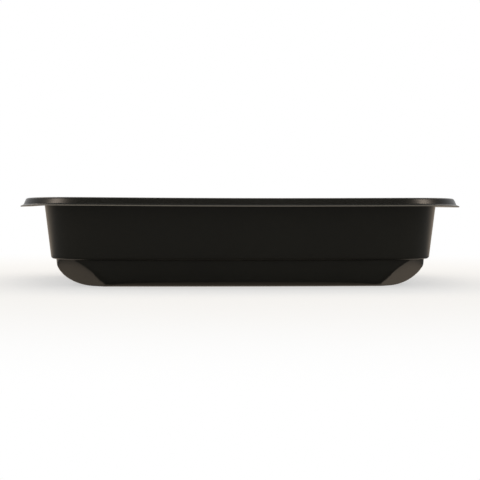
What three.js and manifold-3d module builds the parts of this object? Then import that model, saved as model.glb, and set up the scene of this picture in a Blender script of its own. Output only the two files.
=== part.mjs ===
// Heat-sealable food tray, thermoformed in one piece from black plastic sheet.
// Millimetres, +Z up. The origin is at the middle of the underside, on the surface that the tray stands on.
// X runs along the long sides and Y along the short sides.
import * as THREE from "three";
import { mergeVertices } from "three/addons/utils/BufferGeometryUtils.js";
import Module from "manifold-3d";

// Overall sizes
const RIM_LENGTH = 227;
const RIM_WIDTH = 178;
const TRAY_HEIGHT = 45.4;
const WALL = 0.5;

// Rim: a flat sealing face, a skirt turned down around it and a narrow trimmed lip below the skirt
const RIM_CORNER_RADIUS = 37.3;
const RIM_TO_WALL = 11.85;
const MOUTH_RADIUS = 1.0;
const RIM_EDGE_RADIUS = 1.5;
const SKIRT_DROP = 3.2;
const SKIRT_SLOPE_DEG = 24;
const LIP_RUN = 1.6;
const LIP_DROP = 0.6;

// Upper body: drafted walls from the rim down to a ledge
const UPPER_DRAFT_DEG = 6.95;
const LEDGE_HEIGHT = 13.7;
const LEDGE_RADIUS = 1.6;
const LEDGE_INSET = 2.5;

// Lower body: steeper walls with a small radius under the long sides
const LOWER_DRAFT_DEG = 6;
const BASE_RADIUS = 3.8;

// Short ends: a long elliptical curve sweeps from the base up into the lower wall
const END_SWEEP_RUN = 17.2;
const END_SWEEP_RISE = 12;

// Facets: one flat face across each lower corner, measured on the corner's diagonal at the base
const FACET_CUT = 18.7;
const FACET_STEEPNESS_DEG = 48.4;

// Steps around each plan corner, each section radius and the end sweep
const CORNER_STEPS = 12;
const RADIUS_STEPS = 3;
const SWEEP_STEPS = 12;

// Cutting solids stand this far past what they cut
const CUT_MARGIN = 5;

// Points closer together than this are one point
const MERGE_DISTANCE = 1e-4;

const radians = THREE.MathUtils.degToRad;
const quarterTurn = Math.PI / 2;
const rimUnderside = TRAY_HEIGHT - WALL;
const upperDraft = radians(UPPER_DRAFT_DEG);
const lowerDraft = radians(LOWER_DRAFT_DEG);
const skirtSlope = radians(SKIRT_SLOPE_DEG);

const wasm = await Module();
wasm.setup();

// A closed skin of positions and triangles as a manifold-3d solid.
function solidFrom(positions, index) {
  const geometry = new THREE.BufferGeometry();
  geometry.setAttribute("position", new THREE.Float32BufferAttribute(positions, 3));
  geometry.setIndex(index);
  const merged = mergeVertices(geometry, MERGE_DISTANCE);
  return new wasm.Manifold(
    new wasm.Mesh({
      numProp: 3,
      vertProperties: merged.attributes.position.array,
      triVerts: new Uint32Array(merged.index.array),
    }),
  );
}

// A manifold-3d solid as a three.js geometry.
function geometryFrom(solid) {
  const mesh = solid.getMesh();
  const geometry = new THREE.BufferGeometry();
  geometry.setAttribute("position", new THREE.BufferAttribute(new Float32Array(mesh.vertProperties), 3));
  geometry.setIndex(new THREE.BufferAttribute(new Uint32Array(mesh.triVerts), 1));
  geometry.computeVertexNormals();
  return geometry;
}

// A closed skin through plan outlines of equal point counts, capped flat at both ends.
// Each outline runs anticlockwise seen from above, and the outlines follow the outside upwards.
function loft(outlines) {
  const count = outlines[0].points.length;
  const positions = outlines.flatMap(({ points, z }) => points.flatMap(([x, y]) => [x, y, z]));
  const index = [];
  const next = (i) => (i + 1) % count;
  for (let ring = 0; ring < outlines.length - 1; ring++) {
    const low = ring * count;
    const high = low + count;
    for (let i = 0; i < count; i++) {
      index.push(low + i, low + next(i), high + next(i), low + i, high + next(i), high + i);
    }
  }
  const last = (outlines.length - 1) * count;
  const bottomCentre = positions.length / 3;
  positions.push(0, 0, outlines[0].z, 0, 0, outlines.at(-1).z);
  for (let i = 0; i < count; i++) {
    index.push(bottomCentre, next(i), i, bottomCentre + 1, last + i, last + next(i));
  }
  return solidFrom(positions, index);
}

// One quarter of an outline, from the +X side to the +Y side, mirrored into the other three quarters.
function mirrored(quarter) {
  const back = [...quarter].reverse();
  return [
    ...quarter,
    ...back.map(([x, y]) => [-x, y]),
    ...quarter.map(([x, y]) => [-x, -y]),
    ...back.map(([x, y]) => [x, -y]),
  ];
}

// A section point: how far it lies inside the rim's outline, and its height.
function at(inset, z) {
  return { inset, z };
}

// Section points around an arc. Angles are in radians up from the outward horizontal.
function sectionArc(centre, radius, from, to) {
  return Array.from({ length: RADIUS_STEPS + 1 }, (_, step) => {
    const angle = from + ((to - from) * step) / RADIUS_STEPS;
    return at(centre.inset - radius * Math.cos(angle), centre.z + radius * Math.sin(angle));
  });
}

// A solid whose section is carried round the tray, with corners concentric to the rim's.
function carriedRound(section) {
  const centreX = RIM_LENGTH / 2 - RIM_CORNER_RADIUS;
  const centreY = RIM_WIDTH / 2 - RIM_CORNER_RADIUS;
  return loft(
    section.map(({ inset, z }) => {
      const arc = Array.from({ length: CORNER_STEPS + 1 }, (_, step) => {
        const angle = (quarterTurn * step) / CORNER_STEPS;
        const radius = RIM_CORNER_RADIUS - inset;
        return [centreX + radius * Math.cos(angle), centreY + radius * Math.sin(angle)];
      });
      return { z, points: mirrored(arc) };
    }),
  );
}

// Outer faces of the two walls, as insets at a height.
const upperInset = (z) => RIM_TO_WALL + (rimUnderside - z) * Math.tan(upperDraft);
const lowerTopInset = upperInset(LEDGE_HEIGHT) + LEDGE_INSET;
const lowerInset = (z) => lowerTopInset + (LEDGE_HEIGHT - z) * Math.tan(lowerDraft);

// The ledge's rounded edge, sunk into the sheet by an offset from its outer face.
function ledgeEdge(offset) {
  const z = LEDGE_HEIGHT + LEDGE_RADIUS;
  const centre = at(upperInset(z) + LEDGE_RADIUS / Math.cos(upperDraft), z);
  return sectionArc(centre, LEDGE_RADIUS - offset, -quarterTurn, -upperDraft);
}

// The rounded mouth where the wall turns outwards into the sealing face.
function mouth(offset) {
  const z = TRAY_HEIGHT - MOUTH_RADIUS;
  const centre = at(upperInset(z) - (MOUTH_RADIUS - WALL) / Math.cos(upperDraft), z);
  return sectionArc(centre, MOUTH_RADIUS - WALL + offset, Math.PI - upperDraft, quarterTurn);
}

// The skirt and the lip, as the section points of the upper face and of the lower face.
// Both run from the sealing face outwards.
function skirtAndLip() {
  const foot = at(LIP_RUN, TRAY_HEIGHT - SKIRT_DROP);
  const z = TRAY_HEIGHT - RIM_EDGE_RADIUS;
  const skirtInset = foot.inset + (z - foot.z) * Math.tan(skirtSlope);
  const centre = at(skirtInset + RIM_EDGE_RADIUS / Math.cos(skirtSlope), z);
  const lipSlope = Math.atan2(LIP_DROP, LIP_RUN);
  const tip = at(0, foot.z - LIP_DROP);
  const share = WALL / (1 + Math.cos(quarterTurn - skirtSlope - lipSlope));
  const footUnder = at(
    foot.inset + share * (Math.cos(skirtSlope) + Math.sin(lipSlope)),
    foot.z - share * (Math.sin(skirtSlope) + Math.cos(lipSlope)),
  );
  return {
    upper: [...sectionArc(centre, RIM_EDGE_RADIUS, quarterTurn, skirtSlope), foot, tip],
    lower: [
      ...sectionArc(centre, RIM_EDGE_RADIUS - WALL, quarterTurn, skirtSlope),
      footUnder,
      at(0, tip.z - WALL / Math.cos(lipSlope)),
    ],
  };
}

// The upper body and the rim, solid inside.
function upperOutside() {
  const { upper, lower } = skirtAndLip();
  return carriedRound([...ledgeEdge(0), ...mouth(0), ...lower, ...upper.reverse()]);
}

// The space inside the upper body.
function upperInside() {
  const mouthArc = mouth(WALL);
  const top = at(mouthArc.at(-1).inset, TRAY_HEIGHT + CUT_MARGIN);
  return carriedRound([...ledgeEdge(WALL), ...mouthArc, top]);
}

// The lower body before its ends are swept, sunk into the sheet by an offset from its outer face.
function lowerWalls(offset) {
  const centre = at(lowerInset(BASE_RADIUS) + BASE_RADIUS / Math.cos(lowerDraft), BASE_RADIUS);
  const top = LEDGE_HEIGHT + LEDGE_RADIUS;
  return carriedRound([
    ...sectionArc(centre, BASE_RADIUS - offset, -quarterTurn, -lowerDraft),
    at(lowerInset(top) + offset / Math.cos(lowerDraft), top),
  ]);
}

// How far out along the corner's diagonal a facet lies at a height, sunk by an offset.
function facetReach(z, offset) {
  const baseCorner = (RIM_LENGTH + RIM_WIDTH - 4 * lowerInset(0)) / 2 / Math.SQRT2;
  const steepness = radians(FACET_STEEPNESS_DEG);
  return baseCorner - FACET_CUT + z / Math.tan(steepness) - offset / Math.sin(steepness);
}

// The solid that shapes the short ends and the corner facets, sunk by an offset from its outer face.
function endsAndFacets(offset) {
  const endX = (z) => RIM_LENGTH / 2 - lowerInset(z) - offset / Math.cos(lowerDraft);
  const outline = (x, z) => {
    const sum = facetReach(z, offset) * Math.SQRT2;
    return { z, points: mirrored([[x, sum - x], [sum - RIM_WIDTH / 2, RIM_WIDTH / 2]]) };
  };
  const outlines = [];
  for (let step = 0; step <= SWEEP_STEPS; step++) {
    const angle = (quarterTurn * step) / SWEEP_STEPS;
    const z = offset + (END_SWEEP_RISE - offset) * (1 - Math.cos(angle));
    outlines.push(outline(endX(z) - (END_SWEEP_RUN - offset) * (1 - Math.sin(angle)), z));
  }
  const top = LEDGE_HEIGHT + LEDGE_RADIUS + CUT_MARGIN;
  outlines.push(outline(endX(END_SWEEP_RISE) + CUT_MARGIN, top));
  return loft(outlines);
}

// The lower body, solid inside.
function lowerBody(offset) {
  return lowerWalls(offset).intersect(endsAndFacets(offset));
}

// The whole tray: the outside less the space for the food.
function trayGeometry() {
  const outside = upperOutside().add(lowerBody(0));
  const inside = upperInside().add(lowerBody(WALL));
  return geometryFrom(outside.subtract(inside));
}

const blackPolypropylene = new THREE.MeshStandardMaterial({ color: "#191815", roughness: 0.4, metalness: 0 });
const tray = new THREE.Mesh(trayGeometry(), blackPolypropylene);
tray.name = "food_tray";

const group = new THREE.Group();
group.add(tray);
export default group;
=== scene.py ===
import math

import bpy
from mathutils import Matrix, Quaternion, Vector


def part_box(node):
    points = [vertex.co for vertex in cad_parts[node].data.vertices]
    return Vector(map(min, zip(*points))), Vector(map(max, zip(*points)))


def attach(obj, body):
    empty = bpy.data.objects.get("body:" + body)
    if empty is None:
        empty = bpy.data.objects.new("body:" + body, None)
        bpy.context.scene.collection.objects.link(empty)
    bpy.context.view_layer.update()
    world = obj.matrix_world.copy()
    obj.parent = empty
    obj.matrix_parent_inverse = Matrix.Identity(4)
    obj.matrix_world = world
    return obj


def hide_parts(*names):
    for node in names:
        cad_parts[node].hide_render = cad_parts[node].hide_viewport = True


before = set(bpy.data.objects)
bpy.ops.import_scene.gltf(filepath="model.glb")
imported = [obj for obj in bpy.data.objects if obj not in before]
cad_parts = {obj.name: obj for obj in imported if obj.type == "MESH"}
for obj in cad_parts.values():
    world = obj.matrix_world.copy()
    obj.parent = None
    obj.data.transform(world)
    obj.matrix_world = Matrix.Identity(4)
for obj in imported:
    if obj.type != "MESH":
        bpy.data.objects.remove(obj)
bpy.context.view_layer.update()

MM = 0.001
WALL = 0.5 * MM

# The drooping end rims lean outwards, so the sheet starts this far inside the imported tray's box.
BOX_CLEARANCE = 0.05 * MM
tray_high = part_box("food_tray")[1]
HALF_LENGTH = tray_high.x - BOX_CLEARANCE
HALF_WIDTH = tray_high.y - BOX_CLEARANCE
TRAY_HEIGHT = tray_high.z

# Rim: flat sealing face, skirt turned down around it and a narrow trimmed lip
RIM_CORNER_RADIUS = 37.3 * MM
RIM_TO_WALL = 11.85 * MM
MOUTH_RADIUS = 1.0 * MM
RIM_EDGE_RADIUS = 1.5 * MM
SKIRT_DROP = 3.2 * MM
SKIRT_SLOPE = math.radians(24)
LIP_RUN = 1.6 * MM
LIP_DROP = 0.6 * MM
FOOT_EASE = 0.5 * MM

# Walls and ledge
UPPER_DRAFT = math.radians(6.95)
LEDGE_HEIGHT = 13.7 * MM
LEDGE_RADIUS = 1.6 * MM
LEDGE_INSET = 2.5 * MM
LEDGE_FILLET = 0.5 * MM
LOWER_DRAFT = math.radians(6)
BASE_RADIUS = 3.8 * MM

# Swept ends and corner facets
END_SWEEP_RUN = 17.2 * MM
END_SWEEP_RISE = 12 * MM
FACET_CUT = 18.7 * MM
FACET_STEEPNESS = math.radians(48.4)
CREASE_SOFTNESS = 0.5 * MM

# Slack of the thin sheet: the base lifts towards the ends, the long rims dip in the middle
# and the end rims droop
BASE_BOW = 0.35 * MM
RIM_SAG = 0.4 * MM
END_DROOP = 0.9 * MM

# The droop grows with this power of the squared distance from the middle, so only the rim's ends lean
DROOP_POWER = 8.0

# Mesh density, as steps along each stretch of the plan outline and of the section
CORNER_STEPS = 36
LONG_STEPS = 26
SHORT_STEPS = 18
SWEEP_STEPS = 30
SWEEP_TO_FILLET_STEPS = 3
WALL_STEPS = 14
FLAT_STEPS = 4
ARC_STEPS = 7

# Rings of points across the base, as shares of the way from its middle to its edge
BASE_SHARES = (0.03, 0.25, 0.5, 0.75, 0.92, 0.98)

# Edges sharper than this are shaded as creases
SHARP_ANGLE = math.radians(50)

# Faces at the rim's outline that lean less than this from upright are its cut edge
CUT_EDGE_LEAN = math.radians(50)

QUARTER_TURN = math.pi / 2
RIM_UNDERSIDE = TRAY_HEIGHT - WALL - BOX_CLEARANCE
MATH = "ShaderNodeMath"
NOISE = "ShaderNodeTexNoise"
BUMP = "ShaderNodeBump"


def upper_inset(z):
    """Outer face of the upper wall, as its distance inside the rim's outline."""
    return RIM_TO_WALL + (RIM_UNDERSIDE - z) * math.tan(UPPER_DRAFT)


def lower_inset(z):
    """Outer face of the lower wall, above its base radius."""
    top = upper_inset(LEDGE_HEIGHT) + LEDGE_INSET
    return top + (LEDGE_HEIGHT - z) * math.tan(LOWER_DRAFT)


def lower_wall_point(z):
    """Section point of the lower wall, base radius included."""
    if z > BASE_RADIUS * (1 - math.sin(LOWER_DRAFT)):
        return (lower_inset(z), z)
    centre = lower_inset(BASE_RADIUS) + BASE_RADIUS / math.cos(LOWER_DRAFT)
    return (centre - math.sqrt(BASE_RADIUS**2 - (BASE_RADIUS - z) ** 2), z)


def arc(inset, z, radius, start, end):
    """Section points round an arc. Angles turn upwards from the outward horizontal."""
    angles = [start + (end - start) * step / ARC_STEPS for step in range(ARC_STEPS + 1)]
    return [(inset - radius * math.cos(a), z + radius * math.sin(a)) for a in angles]


def between(start, end, steps):
    """Section points along a straight stretch, without its two ends."""
    shares = [step / steps for step in range(1, steps)]
    return [tuple(a + (b - a) * share for a, b in zip(start, end)) for share in shares]


def eased(start, corner, end):
    """Section points round a soft corner."""
    shares = [step / ARC_STEPS for step in range(ARC_STEPS + 1)]
    return [
        tuple((1 - t) ** 2 * a + 2 * t * (1 - t) * c + t**2 * b for a, c, b in zip(start, corner, end))
        for t in shares
    ]


def lower_section():
    """Base radius, lower wall and the fillet under the ledge."""
    turns = [QUARTER_TURN * step / SWEEP_STEPS for step in range(SWEEP_STEPS + 1)]
    wall = [lower_wall_point(END_SWEEP_RISE * (1 - math.cos(turn))) for turn in turns]
    z = LEDGE_HEIGHT - LEDGE_FILLET
    centre = lower_inset(z) - LEDGE_FILLET / math.cos(LOWER_DRAFT)
    fillet = arc(centre, z, LEDGE_FILLET, math.pi - LOWER_DRAFT, QUARTER_TURN)
    return wall + between(wall[-1], fillet[0], SWEEP_TO_FILLET_STEPS) + fillet


def upper_section():
    """Ledge edge, upper wall, underside of the rim, inside of the skirt and underside of the lip."""
    z = LEDGE_HEIGHT + LEDGE_RADIUS
    centre = upper_inset(z) + LEDGE_RADIUS / math.cos(UPPER_DRAFT)
    ledge = arc(centre, z, LEDGE_RADIUS, -QUARTER_TURN, -UPPER_DRAFT)
    z = RIM_UNDERSIDE + WALL - MOUTH_RADIUS
    radius = MOUTH_RADIUS - WALL
    centre = upper_inset(z) - radius / math.cos(UPPER_DRAFT)
    mouth = arc(centre, z, radius, math.pi - UPPER_DRAFT, QUARTER_TURN)
    foot_z = TRAY_HEIGHT - SKIRT_DROP
    z = RIM_UNDERSIDE + WALL - RIM_EDGE_RADIUS
    skirt = LIP_RUN + (z - foot_z) * math.tan(SKIRT_SLOPE)
    centre = skirt + RIM_EDGE_RADIUS / math.cos(SKIRT_SLOPE)
    edge = arc(centre, z, RIM_EDGE_RADIUS - WALL, QUARTER_TURN, SKIRT_SLOPE)
    lip_slope = math.atan2(LIP_DROP, LIP_RUN)
    share = WALL / (1 + math.cos(QUARTER_TURN - SKIRT_SLOPE - lip_slope))
    foot = Vector((
        LIP_RUN + share * (math.cos(SKIRT_SLOPE) + math.sin(lip_slope)),
        foot_z - share * (math.sin(SKIRT_SLOPE) + math.cos(lip_slope)),
    ))
    tip_inset = WALL * math.sin(lip_slope)
    tip = Vector((tip_inset, foot_z - LIP_DROP - WALL * math.cos(lip_slope)))
    above = foot + (Vector(edge[-1]) - foot).normalized() * FOOT_EASE
    beyond = foot + (tip - foot).normalized() * FOOT_EASE
    wall = between(ledge[-1], mouth[0], WALL_STEPS)
    flat = between(mouth[-1], edge[0], FLAT_STEPS)
    return ledge + wall + mouth + flat + edge + eased(above, foot, beyond) + [tuple(tip)]


def ring(inset):
    """One plan outline, anticlockwise from above, with corners concentric to the rim's."""
    centre_x = HALF_LENGTH - RIM_CORNER_RADIUS
    centre_y = HALF_WIDTH - RIM_CORNER_RADIUS
    radius = RIM_CORNER_RADIUS - inset
    turns = [QUARTER_TURN * step / CORNER_STEPS for step in range(CORNER_STEPS + 1)]
    quarter = [(centre_x + radius, centre_y * step / SHORT_STEPS) for step in range(SHORT_STEPS)]
    quarter += [(centre_x + radius * math.cos(a), centre_y + radius * math.sin(a)) for a in turns]
    quarter += [
        (centre_x * (1 - step / LONG_STEPS), centre_y + radius)
        for step in range(1, LONG_STEPS + 1)
    ]
    half = quarter + [(-x, y) for x, y in reversed(quarter)][1:]
    return half + [(-x, -y) for x, y in half[1:-1]]


def tray_skin():
    """The sheet's outer face before its ends and corners are pressed in."""
    lower = lower_section()

    # Each ring of points carries how much of the pressing it takes, 1 in the lower body and 0 above,
    # and its share of the way out from the middle of the base.
    rows = [(*lower[0], 1.0, share) for share in BASE_SHARES]
    rows += [(inset, z, 1.0, 1.0) for inset, z in lower]
    rows += [(inset, z, 0.0, 1.0) for inset, z in upper_section()]
    points, press, shares = [], [], []
    for inset, z, pressed, share in rows:
        outline = ring(inset)
        points += [(x, y, z) for x, y in outline]
        press += [pressed] * len(outline)
        shares += [share] * len(outline)
    count = len(points) // len(rows)

    # One face, looking down, closes the smallest ring in the middle of the base.
    faces = [tuple(reversed(range(count)))]
    for row in range(len(rows) - 1):
        start = row * count
        for i in range(count):
            after = (i + 1) % count
            faces.append((start + i, start + after, start + count + after, start + count + i))
    mesh = bpy.data.meshes.new("tray_skin")
    mesh.from_pydata(points, [], faces)
    mesh.attributes.new("press", "FLOAT", "POINT").data.foreach_set("value", press)
    mesh.attributes.new("share", "FLOAT", "POINT").data.foreach_set("value", shares)
    return mesh


def linear(colour):
    """An sRGB hex colour as linear red, green, blue and alpha, by the curve that sRGB is defined by."""
    parts = [int(colour[i : i + 2], 16) / 255 for i in (1, 3, 5)]
    return [c / 12.92 if c <= 0.04045 else ((c + 0.055) / 1.055) ** 2.4 for c in parts] + [1.0]


def add(tree, kind, inputs=(), **settings):
    """Adds a node with its settings. An input takes a value, a socket or another node's first output."""
    node = tree.nodes.new(kind)
    for name, value in settings.items():
        setattr(node, name, value)
    pairs = inputs.items() if isinstance(inputs, dict) else enumerate(inputs)
    for key, value in pairs:
        source = value.outputs[0] if isinstance(value, bpy.types.Node) else value
        if isinstance(source, bpy.types.NodeSocket):
            tree.links.new(source, node.inputs[key])
        else:
            node.inputs[key].default_value = source
    return node


# Named inputs of the tree that presses the skin into shape
BASE_CORNER = HALF_LENGTH + HALF_WIDTH - 2 * lower_inset(0)
PRESS_SIZES = {
    "Sweep run": END_SWEEP_RUN,
    "Sweep rise": END_SWEEP_RISE,
    "Base half length": HALF_LENGTH - lower_inset(0),
    "Wall spread": math.tan(LOWER_DRAFT),
    "Facet reach": BASE_CORNER - FACET_CUT * math.sqrt(2),
    "Facet spread": math.sqrt(2) / math.tan(FACET_STEEPNESS),
    "Crease softness": CREASE_SOFTNESS / HALF_LENGTH,
    "Base bow": BASE_BOW,
    "Rim sag": RIM_SAG,
    "End droop": END_DROOP,
}


def press_tree(material):
    """Presses the swept ends and the corner facets into the skin, and lets the sheet bow a little."""
    tree = bpy.data.node_groups.new("press_ends_and_facets", "GeometryNodeTree")
    interface = tree.interface
    interface.new_socket("Geometry", in_out="INPUT", socket_type="NodeSocketGeometry")
    for name in PRESS_SIZES:
        interface.new_socket(name, in_out="INPUT", socket_type="NodeSocketFloat")
    interface.new_socket("Geometry", in_out="OUTPUT", socket_type="NodeSocketGeometry")
    given = add(tree, "NodeGroupInput").outputs
    place = add(tree, "GeometryNodeInputPosition")
    x, y, z = add(tree, "ShaderNodeSeparateXYZ", [place]).outputs

    # The distance along the tray is kept off zero, because the end face's reach is divided by it.
    length = add(tree, MATH, [x], operation="ABSOLUTE")
    along = add(tree, MATH, [length, WALL], operation="MAXIMUM")
    across = add(tree, MATH, [y], operation="ABSOLUTE")

    # The end sweep is a quarter ellipse, so its run left at a height follows from the rise.
    risen = add(tree, MATH, [z, given["Sweep rise"]], operation="DIVIDE")
    below = add(tree, MATH, [1.0, risen], operation="SUBTRACT")
    cosine = add(tree, MATH, [below, 0.0], operation="MAXIMUM")
    square = add(tree, MATH, [cosine, cosine], operation="MULTIPLY")
    rest = add(tree, MATH, [1.0, square], operation="SUBTRACT")
    sine = add(tree, MATH, [rest], operation="SQRT")
    left = add(tree, MATH, [1.0, sine], operation="SUBTRACT")
    run = add(tree, MATH, [given["Sweep run"], left], operation="MULTIPLY")
    wall = add(tree, MATH, [z, given["Wall spread"], given["Base half length"]], operation="MULTIPLY_ADD")
    end_face = add(tree, MATH, [wall, run], operation="SUBTRACT")
    end = add(tree, MATH, [end_face, along], operation="DIVIDE")
    swept = add(tree, MATH, [end, 1.0], operation="MINIMUM")

    # A facet is one plane across the corner, met by the walls in a soft crease.
    reach = add(tree, MATH, [z, given["Facet spread"], given["Facet reach"]], operation="MULTIPLY_ADD")
    total = add(tree, MATH, [along, across], operation="ADD")
    facet = add(tree, MATH, [reach, total], operation="DIVIDE")
    pressed = add(tree, MATH, [swept, facet, given["Crease softness"]], operation="SMOOTH_MIN")
    amount = add(tree, "GeometryNodeInputNamedAttribute", {"Name": "press"}, data_type="FLOAT")
    hub = add(tree, "GeometryNodeInputNamedAttribute", {"Name": "share"}, data_type="FLOAT")
    change = add(tree, MATH, [pressed, 1.0], operation="SUBTRACT")
    kept = add(tree, MATH, [change, amount, 1.0], operation="MULTIPLY_ADD")
    scale = add(tree, MATH, [kept, hub], operation="MULTIPLY")
    new_x = add(tree, MATH, [x, scale], operation="MULTIPLY")
    new_y = add(tree, MATH, [y, scale], operation="MULTIPLY")

    # The base lifts with the square of the distance from the middle, the long rims dip most in the
    # middle, and the end rims droop at their very ends.
    share = add(tree, MATH, [new_x, HALF_LENGTH], operation="DIVIDE")
    far = add(tree, MATH, [share, share], operation="MULTIPLY")
    near = add(tree, MATH, [1.0, far], operation="SUBTRACT")
    height = add(tree, MATH, [z, TRAY_HEIGHT], operation="DIVIDE")
    depth = add(tree, MATH, [1.0, height], operation="SUBTRACT")
    low = add(tree, MATH, [far, depth], operation="MULTIPLY")
    middle = add(tree, MATH, [near, near], operation="MULTIPLY")
    high = add(tree, MATH, [middle, height], operation="MULTIPLY")
    lifted = add(tree, MATH, [low, given["Base bow"], z], operation="MULTIPLY_ADD")
    dip = add(tree, MATH, [high, given["Rim sag"]], operation="MULTIPLY")
    level = add(tree, MATH, [lifted, dip], operation="SUBTRACT")
    end_share = add(tree, MATH, [far, DROOP_POWER], operation="POWER")
    outermost = add(tree, MATH, [end_share, height], operation="MULTIPLY")
    droop = add(tree, MATH, [outermost, given["End droop"]], operation="MULTIPLY")
    new_z = add(tree, MATH, [level, droop], operation="SUBTRACT")
    moved = add(tree, "ShaderNodeCombineXYZ", [new_x, new_y, new_z])
    shape = add(tree, "GeometryNodeSetPosition", {"Geometry": given["Geometry"], "Position": moved})
    real = add(tree, "GeometryNodeRealizeInstances", {"Geometry": shape})
    made = add(tree, "GeometryNodeSetMaterial", {"Geometry": real, "Material": material})
    add(tree, "NodeGroupOutput", {"Geometry": made})
    return tree


# Real sizes of the sheet's patterns. Its grain is about 0.3 mm, and is drawn coarser so that it shows.
DRAPE_WAVE = 16 * MM
WAVE_DEPTH = 0.12 * MM
WAVE_STRENGTH = 0.35
WAVE_DETAIL = 1.0
TOOL_GRAIN = 0.9 * MM
GRAIN_DEPTH = 0.02 * MM
GRAIN_STRENGTH = 0.3
GRAIN_DETAIL = 2.0

# Patches where the sheet was drawn further, a little paler and rougher than the rest
STRETCH_PATCH = 30 * MM
STRETCH_DETAIL = 3.0
STRETCH_LOW = 0.3
STRETCH_HIGH = 0.7
PLAIN_BLACK = "#1a1915"
DRAWN_BLACK = "#201f1a"
PLAIN_ROUGHNESS = 0.29
DRAWN_ROUGHNESS = 0.35

# Polypropylene's IOR is 1.49. Carbon black and the tool's matt face take some of its gloss away.
POLYPROPYLENE_IOR = 1.49
SATIN_SPECULAR = 0.14

# The cut edge is rough from the trimming knife. Its colour, paler than the faces, is a painted sheen
# standing in for the light that the rough cut scatters
EDGE_PAINTED_SHEEN_COLOUR = "#6a655c"
EDGE_ROUGHNESS = 0.55


def thermoformed_polypropylene():
    """Black polypropylene sheet, thermoformed: satin, with a faint drape wave and the tool's fine grain."""
    material = bpy.data.materials.new("thermoformed_black_polypropylene")
    material.use_nodes = True
    tree = material.node_tree
    place = add(tree, "ShaderNodeTexCoord").outputs["Object"]
    wave = add(tree, NOISE, {"Vector": place, "Scale": 1 / DRAPE_WAVE, "Detail": WAVE_DETAIL})
    stretch = add(tree, NOISE, {"Vector": place, "Scale": 1 / STRETCH_PATCH, "Detail": STRETCH_DETAIL})
    grain = add(tree, NOISE, {"Vector": place, "Scale": 1 / TOOL_GRAIN, "Detail": GRAIN_DETAIL})

    # The black varies a little where the sheet was drawn further, and so does its gloss.
    tone = add(tree, "ShaderNodeValToRGB", [stretch])
    tone.color_ramp.elements[0].color = linear(PLAIN_BLACK)
    tone.color_ramp.elements[1].color = linear(DRAWN_BLACK)
    limits = {
        "Value": stretch,
        "From Min": STRETCH_LOW,
        "From Max": STRETCH_HIGH,
        "To Min": PLAIN_ROUGHNESS,
        "To Max": DRAWN_ROUGHNESS,
    }
    gloss = add(tree, "ShaderNodeMapRange", limits)
    soft = add(tree, BUMP, {"Height": wave, "Strength": WAVE_STRENGTH, "Distance": WAVE_DEPTH})
    relief = {"Height": grain, "Strength": GRAIN_STRENGTH, "Distance": GRAIN_DEPTH, "Normal": soft}
    fine = add(tree, BUMP, relief)
    surface = tree.nodes["Principled BSDF"].inputs
    surface["IOR"].default_value = POLYPROPYLENE_IOR
    surface["Specular IOR Level"].default_value = SATIN_SPECULAR
    tree.links.new(tone.outputs["Color"], surface["Base Color"])
    tree.links.new(gloss.outputs[0], surface["Roughness"])
    tree.links.new(fine.outputs[0], surface["Normal"])
    return material


def painted_sheen_edge_polypropylene():
    """The sheet's cut edge round the rim: duller than its faces, and paler by a painted sheen."""
    material = bpy.data.materials.new("painted_sheen_trimmed_edge_polypropylene")
    material.use_nodes = True
    surface = material.node_tree.nodes["Principled BSDF"].inputs
    # The pale base colour is a painted sheen along the cut edge, not the sheet's own black
    surface["Base Color"].default_value = linear(EDGE_PAINTED_SHEEN_COLOUR)
    surface["Roughness"].default_value = EDGE_ROUGHNESS
    surface["IOR"].default_value = POLYPROPYLENE_IOR
    return material


def give_cut_edge(mesh):
    """Gives the trimmed edge its own material, pale with a painted sheen: the upright faces at the rim's
    outline.
    """
    mesh.materials.append(painted_sheen_edge_polypropylene())
    cut_edge = len(mesh.materials) - 1
    for face in mesh.polygons:
        beyond_x = max(abs(face.center.x) - HALF_LENGTH + RIM_CORNER_RADIUS, 0)
        beyond_y = max(abs(face.center.y) - HALF_WIDTH + RIM_CORNER_RADIUS, 0)
        inset = RIM_CORNER_RADIUS - math.hypot(beyond_x, beyond_y)
        if inset < WALL and abs(face.normal.z) < math.sin(CUT_EDGE_LEAN):
            face.material_index = cut_edge


def make_tray():
    """The visible tray: the pressed skin, thickened inwards to the sheet's thickness."""
    material = thermoformed_polypropylene()
    shaped = bpy.data.objects.new("tray_shape", tray_skin())
    bpy.context.scene.collection.objects.link(shaped)
    tree = press_tree(material)
    press = shaped.modifiers.new("press", "NODES")
    press.node_group = tree
    for socket in tree.interface.items_tree:
        if socket.in_out == "INPUT" and socket.name in PRESS_SIZES:
            press[socket.identifier] = PRESS_SIZES[socket.name]

    # The skin is the sheet's outer face, so its thickness goes inwards.
    sheet = shaped.modifiers.new("sheet", "SOLIDIFY")
    sheet.thickness = WALL
    sheet.offset = -1
    sheet.use_even_offset = True
    evaluated = shaped.evaluated_get(bpy.context.evaluated_depsgraph_get())
    mesh = bpy.data.meshes.new_from_object(evaluated)
    bpy.data.objects.remove(shaped)
    mesh.name = "tray_shell"
    give_cut_edge(mesh)
    mesh.shade_smooth()
    mesh.set_sharp_from_angle(angle=SHARP_ANGLE)
    tray = bpy.data.objects.new("tray_shell", mesh)
    bpy.context.scene.collection.objects.link(tray)
    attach(tray, "root")
    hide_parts("food_tray")


# World light that falls on the tray, where 1 is white
AMBIENT = 0.8
WHITE = linear("#ffffff")

# Floor: the camera sees the paper mixed with white, from the glow's share near the tray to all white
FLOOR_HALF = 12.0
FLOOR_COLOUR = "#f2efe9"
SHINE_COLOUR = "#ffecd6"
FADE_START = 0.15
FADE_END = 0.5
PAPER_GLOW = 0.55

# Flag: a brim just over the floor from the tray's front and sides outwards, and a dome that rises
# from it. The hole in the brim is given by its half length and its half width.
FLAG_COLOUR = "#b4b4b4"
FLAG_HOLE = (0.110, 0.0712)
FLAG_RADIUS = 2.2
FLAG_REACH = math.radians(100)
FLAG_TOP = math.radians(78)
FLAG_LIFT = 0.3 * MM
FLAG_STEPS = 24

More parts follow.
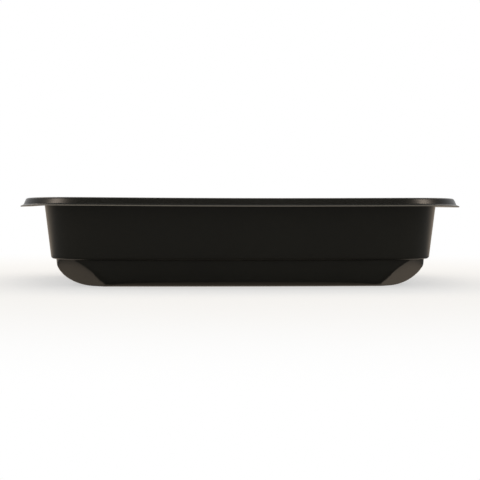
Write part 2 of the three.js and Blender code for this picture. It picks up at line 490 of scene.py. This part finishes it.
# Softboxes: each one's place, width and height, and radiance
BOX_COLOUR = "#ffeedd"
FRONT_SIZE = (0.28, 0.5)
LEFT_PLACE = (-1.083, -0.335, 0.82)
LEFT_RADIANCE = 38
RIGHT_PLACE = (1.026, -0.511, 0.83)
RIGHT_RADIANCE = 33
BACK_SIZE = (1.6, 0.6)
BACK_PLACE = (0, 1.1, 1.0)
BACK_RADIANCE = 2.5

# Camera: the lens and the sensor are in millimetres
CAMERA_PLACE = (-0.0595, -0.8322, 0.0421)
CAMERA_AIM = (0.0031, -0.0002, 0.0221)
CAMERA_ROLL = math.radians(0.11)
CAMERA_LENS = 113.4
SENSOR_WIDTH = 36


def make_world():
    """Soft ambient light, with a plain white background for the camera and for reflections."""
    world = bpy.data.worlds.new("white_studio")
    world.use_nodes = True
    tree = world.node_tree
    rays = add(tree, "ShaderNodeLightPath").outputs
    shiny = add(tree, MATH, [rays["Is Glossy Ray"], rays["Is Transmission Ray"]], operation="MAXIMUM")
    seen = add(tree, MATH, [rays["Is Camera Ray"], shiny], operation="MAXIMUM")
    strength = add(tree, MATH, [seen, 1 - AMBIENT, AMBIENT], operation="MULTIPLY_ADD")
    background = tree.nodes["Background"]
    background.inputs["Color"].default_value = WHITE
    tree.links.new(strength.outputs[0], background.inputs["Strength"])
    bpy.context.scene.world = world


def stage_surface(name, corners, faces, shade):
    """A stage surface from its corners, and the function that fills its node tree."""
    material = bpy.data.materials.new(name)
    material.use_nodes = True
    material.node_tree.nodes.clear()
    add(material.node_tree, "ShaderNodeOutputMaterial", {"Surface": shade(material.node_tree)})
    mesh = bpy.data.meshes.new(name)
    mesh.from_pydata(corners, [], faces)
    mesh.materials.append(material)
    piece = bpy.data.objects.new(name, mesh)
    bpy.context.scene.collection.objects.link(piece)
    return piece


def pale_floor(tree):
    """Pale matt paper: it keeps the tray's shadow, turns white further out and is warm in reflections."""
    place = add(tree, "ShaderNodeTexCoord").outputs["Object"]
    far = add(tree, "ShaderNodeVectorMath", [place], operation="LENGTH").outputs["Value"]
    limits = {"Value": far, "From Min": FADE_START, "From Max": FADE_END, "To Min": PAPER_GLOW}
    fade = add(tree, "ShaderNodeMapRange", limits, interpolation_type="SMOOTHSTEP")
    rays = add(tree, "ShaderNodeLightPath").outputs
    shiny = add(tree, MATH, [rays["Is Glossy Ray"], rays["Is Transmission Ray"]], operation="MAXIMUM")
    distant = add(tree, MATH, [rays["Is Camera Ray"], fade], operation="MULTIPLY")
    paper = add(tree, "ShaderNodeBsdfDiffuse", {"Color": linear(FLOOR_COLOUR)})
    shine = add(tree, "ShaderNodeEmission", {"Color": linear(SHINE_COLOUR), "Strength": 1.0})
    white = add(tree, "ShaderNodeEmission", {"Color": WHITE, "Strength": 1.0})
    seen = add(tree, "ShaderNodeMixShader", [distant, paper, white])
    return add(tree, "ShaderNodeMixShader", [shiny, seen, shine])


def make_floor():
    """A broad floor, level with the tray's underside."""
    far = FLOOR_HALF
    corners = [(-far, -far, 0), (far, -far, 0), (far, far, 0), (-far, far, 0)]
    stage_surface("pale_matt_floor", corners, [(0, 1, 2, 3)], pale_floor)


def grey_cloth(tree):
    """Matt grey flag cloth."""
    return add(tree, "ShaderNodeBsdfDiffuse", {"Color": linear(FLAG_COLOUR)})


def make_flag():
    """Grey flag round the front, seen in reflections alone, so that the near side stays dark."""
    corners = []
    for step in range(FLAG_STEPS + 1):
        turn = FLAG_REACH * (2 * step / FLAG_STEPS - 1)
        side, ahead = math.sin(turn), -math.cos(turn)

        # The hole is a superellipse, so it follows the tray's rounded corners.
        hole = [
            half * math.copysign(math.sqrt(abs(way)), way)
            for half, way in zip(FLAG_HOLE, (side, ahead))
        ]
        corners.append((*hole, FLAG_LIFT))
        for row in range(FLAG_STEPS + 1):
            rise = FLAG_TOP * row / FLAG_STEPS
            out = FLAG_RADIUS * math.cos(rise)
            corners.append((out * side, out * ahead, FLAG_LIFT + FLAG_RADIUS * math.sin(rise)))

    # Each strip of corners starts at the hole, crosses the brim and climbs the dome.
    strip = FLAG_STEPS + 2
    faces = [
        (i, i + 1, i + 1 + strip, i + strip)
        for i in range(len(corners) - strip)
        if i % strip < strip - 1
    ]
    flag = stage_surface("grey_flag", corners, faces, grey_cloth)
    flag.visible_camera = False
    flag.visible_diffuse = False
    flag.visible_shadow = False
    flag.visible_transmission = False


def softbox(name, place, size, radiance):
    """A rectangular lamp turned to the tray, as bright all over as the radiance says."""
    lamp = bpy.data.lights.new(name, "AREA")
    lamp.shape = "RECTANGLE"
    lamp.size, lamp.size_y = size
    lamp.energy = radiance * math.pi * size[0] * size[1]
    lamp.color = linear(BOX_COLOUR)[:3]
    light = bpy.data.objects.new(name, lamp)
    light.location = place
    light.rotation_euler = (-Vector(place)).to_track_quat("-Z", "Y").to_euler()
    bpy.context.scene.collection.objects.link(light)
    return light


def make_lights():
    """A softbox off each front corner for its highlight alone, and a broad one above and behind."""
    left = softbox("left_softbox", LEFT_PLACE, FRONT_SIZE, LEFT_RADIANCE)
    right = softbox("right_softbox", RIGHT_PLACE, FRONT_SIZE, RIGHT_RADIANCE)
    left.visible_diffuse = False
    right.visible_diffuse = False
    softbox("back_softbox", BACK_PLACE, BACK_SIZE, BACK_RADIANCE)


def make_camera():
    """Level with the rim, from one long side, with the left end a little nearer."""
    camera = bpy.data.cameras.new("camera")
    camera.lens = CAMERA_LENS
    camera.sensor_width = SENSOR_WIDTH
    view = bpy.data.objects.new("camera", camera)
    view.location = CAMERA_PLACE
    level = (Vector(CAMERA_AIM) - view.location).to_track_quat("-Z", "Y")
    view.rotation_euler = (level @ Quaternion((0, 0, 1), CAMERA_ROLL)).to_euler()
    bpy.context.scene.collection.objects.link(view)
    bpy.context.scene.camera = view


make_camera()
make_world()
make_floor()
make_flag()
make_lights()
make_tray()
bpy.context.scene.view_settings.view_transform = "Standard"
